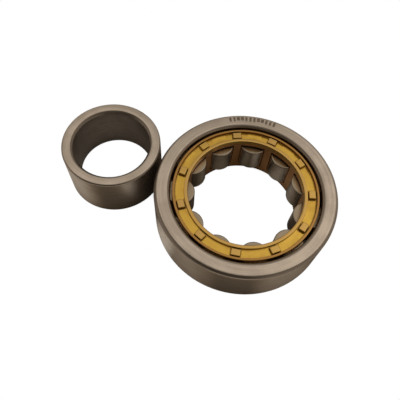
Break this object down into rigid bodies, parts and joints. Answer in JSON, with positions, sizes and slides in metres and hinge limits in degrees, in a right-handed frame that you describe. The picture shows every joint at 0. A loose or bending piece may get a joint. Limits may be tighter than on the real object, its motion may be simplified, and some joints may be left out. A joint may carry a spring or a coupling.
{
  "type": "cylindrical roller bearing",
  "caption": "Cylindrical roller bearing with a ribbed outer ring, a riveted brass cage holding the rollers, and a plain inner ring lying loose beside it.",
  "frame": {"origin": "centre of the bearing, on its axis and half way across its width", "axes": "+Z along the bearing's axis, towards the riveted side of the cage; the loose inner ring lies towards -X"},
  "size_m": [0.063, 0.04, 0.012],
  "materials": {
    "ring_steel": "fine ground bearing steel with a thin film of oil",
    "roller_steel": "superfinished bearing steel",
    "cage_brass": "turned brass, satin"
  },
  "bodies": {
    "outer_ring": {"outer_ring": "ring_steel"},
    "cage": {"cage_body": "cage_brass", "cage_side_ring": "cage_brass"},
    "inner_ring": {"inner_ring": "ring_steel"},
    "roller_01": {"roller_01": "roller_steel"},
    "roller_02": {"roller_02": "roller_steel"},
    "roller_03": {"roller_03": "roller_steel"},
    "roller_04": {"roller_04": "roller_steel"},
    "roller_05": {"roller_05": "roller_steel"},
    "roller_06": {"roller_06": "roller_steel"},
    "roller_07": {"roller_07": "roller_steel"},
    "roller_08": {"roller_08": "roller_steel"},
    "roller_09": {"roller_09": "roller_steel"},
    "roller_10": {"roller_10": "roller_steel"},
    "roller_11": {"roller_11": "roller_steel"}
  },
  "joints": [
    {"name": "cage_spin", "type": "hinge", "parent": "outer_ring", "child": "cage", "pos_m": [0, 0, 0], "axis": [0, 0, 1], "continuous": true},
    {"name": "inner_ring_spin", "type": "hinge", "parent": "outer_ring", "child": "inner_ring", "pos_m": [-0.03198, 0, 0], "axis": [0, 0, 1], "continuous": true},
    {"name": "roller_01_spin", "type": "hinge", "parent": "cage", "child": "roller_01", "pos_m": [0.01431, 0.0003, 0], "axis": [0, 0, 1], "continuous": true},
    {"name": "roller_02_spin", "type": "hinge", "parent": "cage", "child": "roller_02", "pos_m": [0.01187, 0.00799, 0], "axis": [0, 0, 1], "continuous": true},
    {"name": "roller_03_spin", "type": "hinge", "parent": "cage", "child": "roller_03", "pos_m": [0.00567, 0.01314, 0], "axis": [0, 0, 1], "continuous": true},
    {"name": "roller_04_spin", "type": "hinge", "parent": "cage", "child": "roller_04", "pos_m": [-0.00233, 0.01412, 0], "axis": [0, 0, 1], "continuous": true},
    {"name": "roller_05_spin", "type": "hinge", "parent": "cage", "child": "roller_05", "pos_m": [-0.0096, 0.01062, 0], "axis": [0, 0, 1], "continuous": true},
    {"name": "roller_06_spin", "type": "hinge", "parent": "cage", "child": "roller_06", "pos_m": [-0.01381, 0.00374, 0], "axis": [0, 0, 1], "continuous": true},
    {"name": "roller_07_spin", "type": "hinge", "parent": "cage", "child": "roller_07", "pos_m": [-0.01364, -0.00432, 0], "axis": [0, 0, 1], "continuous": true},
    {"name": "roller_08_spin", "type": "hinge", "parent": "cage", "child": "roller_08", "pos_m": [-0.00914, -0.01101, 0], "axis": [0, 0, 1], "continuous": true},
    {"name": "roller_09_spin", "type": "hinge", "parent": "cage", "child": "roller_09", "pos_m": [-0.00174, -0.0142, 0], "axis": [0, 0, 1], "continuous": true},
    {"name": "roller_10_spin", "type": "hinge", "parent": "cage", "child": "roller_10", "pos_m": [0.00622, -0.01289, 0], "axis": [0, 0, 1], "continuous": true},
    {"name": "roller_11_spin", "type": "hinge", "parent": "cage", "child": "roller_11", "pos_m": [0.0122, -0.00748, 0], "axis": [0, 0, 1], "continuous": true}
  ],
  "couplings": [
    {"joint": "roller_01_spin", "follows": "cage_spin", "ratio": -5.4},
    {"joint": "roller_02_spin", "follows": "cage_spin", "ratio": -5.4},
    {"joint": "roller_03_spin", "follows": "cage_spin", "ratio": -5.4},
    {"joint": "roller_04_spin", "follows": "cage_spin", "ratio": -5.4},
    {"joint": "roller_05_spin", "follows": "cage_spin", "ratio": -5.4},
    {"joint": "roller_06_spin", "follows": "cage_spin", "ratio": -5.4},
    {"joint": "roller_07_spin", "follows": "cage_spin", "ratio": -5.4},
    {"joint": "roller_08_spin", "follows": "cage_spin", "ratio": -5.4},
    {"joint": "roller_09_spin", "follows": "cage_spin", "ratio": -5.4},
    {"joint": "roller_10_spin", "follows": "cage_spin", "ratio": -5.4},
    {"joint": "roller_11_spin", "follows": "cage_spin", "ratio": -5.4}
  ]
}
